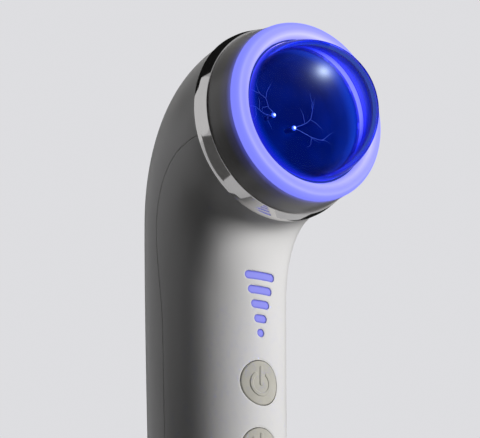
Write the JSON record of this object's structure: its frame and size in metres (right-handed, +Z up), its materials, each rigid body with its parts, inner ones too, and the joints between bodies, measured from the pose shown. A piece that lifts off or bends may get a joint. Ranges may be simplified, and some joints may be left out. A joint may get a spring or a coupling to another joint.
{
  "type": "facial toning device",
  "caption": "Hand-held facial toning device with a bent handle, a lit round head under a glass dome, sprung push buttons and level windows.",
  "frame": {"origin": "on the flat face of the foot, on the handle's axis", "axes": "+Z up the handle, -Y towards the keys and the dome, X across the width"},
  "size_m": [0.0528, 0.0802, 0.1907],
  "materials": {
    "shell": "glossy white",
    "foot": "satin light grey",
    "chrome": "polished",
    "collar": "glossy pale grey",
    "diffuser": "milky, lit",
    "seal": "matte dark blue",
    "dome_glass": "clear blue",
    "cup": "deep blue",
    "pin": "bright",
    "board": "solder mask",
    "led": "clear",
    "frame": "moulded",
    "screw": "plated",
    "bobbin": "moulded",
    "copper": "enamelled wire",
    "switch": "moulded",
    "key": "silicone, warm grey",
    "window": "clear, lit blue",
    "cell": "sleeved cell",
    "contact": "spring tab",
    "socket": "plated sheet"
  },
  "bodies": {
    "housing": {"front_shell": "shell", "rear_shell": "shell", "foot_cap": "foot", "chrome_ring": "chrome", "head_collar": "collar", "light_ring": "diffuser", "dome_seal": "seal", "glass_dome": "dome_glass", "electrode_cup": "cup", "electrode_pins": "pin", "ring_board": "board", "ring_leds": "led", "head_plate": "frame", "head_screws": "screw", "coil_bobbin": "bobbin", "coil_winding": "copper", "inner_frame": "frame", "frame_screws": "screw", "main_board": "board", "board_screws": "screw", "power_switch": "switch", "mode_switch": "switch", "level_leds": "led", "battery_cell": "cell", "cell_contacts": "contact", "charge_board": "board", "charge_socket": "socket", "socket_tongue": "switch", "level_window_1": "window", "level_window_2": "window", "level_window_3": "window", "level_window_4": "window", "level_window_5": "window"},
    "power_key": {"power_button": "key", "power_plunger": "switch"},
    "mode_key": {"mode_button": "key", "mode_plunger": "switch"}
  },
  "joints": [
    {"name": "power_press", "type": "slide", "parent": "housing", "child": "power_key", "axis": [0, 1, 0], "range_m": [0, 0.0007], "stiffness_N_per_m": 2500},
    {"name": "mode_press", "type": "slide", "parent": "housing", "child": "mode_key", "axis": [0, 1, 0], "range_m": [0, 0.0007], "stiffness_N_per_m": 2500}
  ]
}
